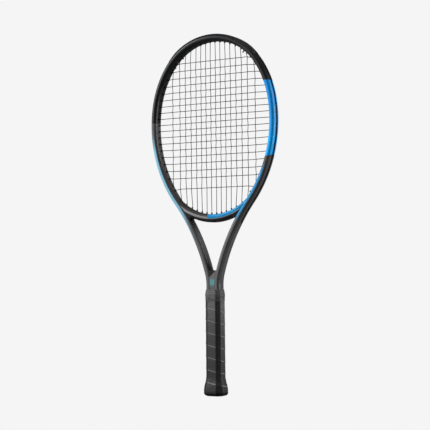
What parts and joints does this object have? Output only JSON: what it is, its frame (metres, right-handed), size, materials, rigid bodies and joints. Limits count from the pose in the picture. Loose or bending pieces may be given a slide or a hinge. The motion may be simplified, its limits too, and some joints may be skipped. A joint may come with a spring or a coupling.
{
  "type": "tennis racket",
  "caption": "Full-size tennis racket: hollow oval hoop with woven strings, open throat with a curved bridge, and an eight-sided taped handle with a flared butt.",
  "frame": {"origin": "centre of the butt cap's rim, where the racket stands on its butt", "axes": "+Z from the butt to the tip of the hoop, X across the face, -Y out of the front of the face"},
  "size_m": [0.2712, 0.0388, 0.6858],
  "materials": {
    "carbon_frame": "lacquered carbon composite, dark graphite with blue panels, satin gloss",
    "bridge_shell": "lacquered carbon composite, dark graphite, one side blue",
    "foam": "closed-cell polyurethane foam",
    "throat_filler": "moulded composite filler, satin grey",
    "grommet_nylon": "injection moulded black nylon, matte",
    "string": "round polyester monofilament, dark grey, slight gloss",
    "pallet": "moulded structural plastic",
    "cap_plastic": "moulded black plastic, matte",
    "staple": "bright steel wire",
    "grip_tape": "perforated synthetic leather tape, tacky matte, black",
    "finishing_tape": "thin vinyl tape, satin",
    "collar_rubber": "soft black rubber"
  },
  "bodies": {
    "racket": {"frame_tube": "carbon_frame", "throat_bridge": "bridge_shell", "bridge_core": "foam", "throat_wedge": "throat_filler", "bumper_guard": "grommet_nylon", "left_grommet_strip": "grommet_nylon", "right_grommet_strip": "grommet_nylon", "bridge_grommet_strip": "grommet_nylon", "main_string": "string", "cross_string": "string", "string_knots": "string", "shaft_foam": "foam", "front_pallet": "pallet", "rear_pallet": "pallet", "butt_cap": "cap_plastic", "butt_staples": "staple", "base_grip": "grip_tape", "finishing_tape": "finishing_tape", "grip_collar": "collar_rubber"},
    "trap_door": {"trap_door": "cap_plastic"}
  },
  "joints": [
    {"name": "trap_door_pull", "type": "slide", "parent": "racket", "child": "trap_door", "axis": [0, 0, -1], "range_m": [0, 0.006]}
  ]
}
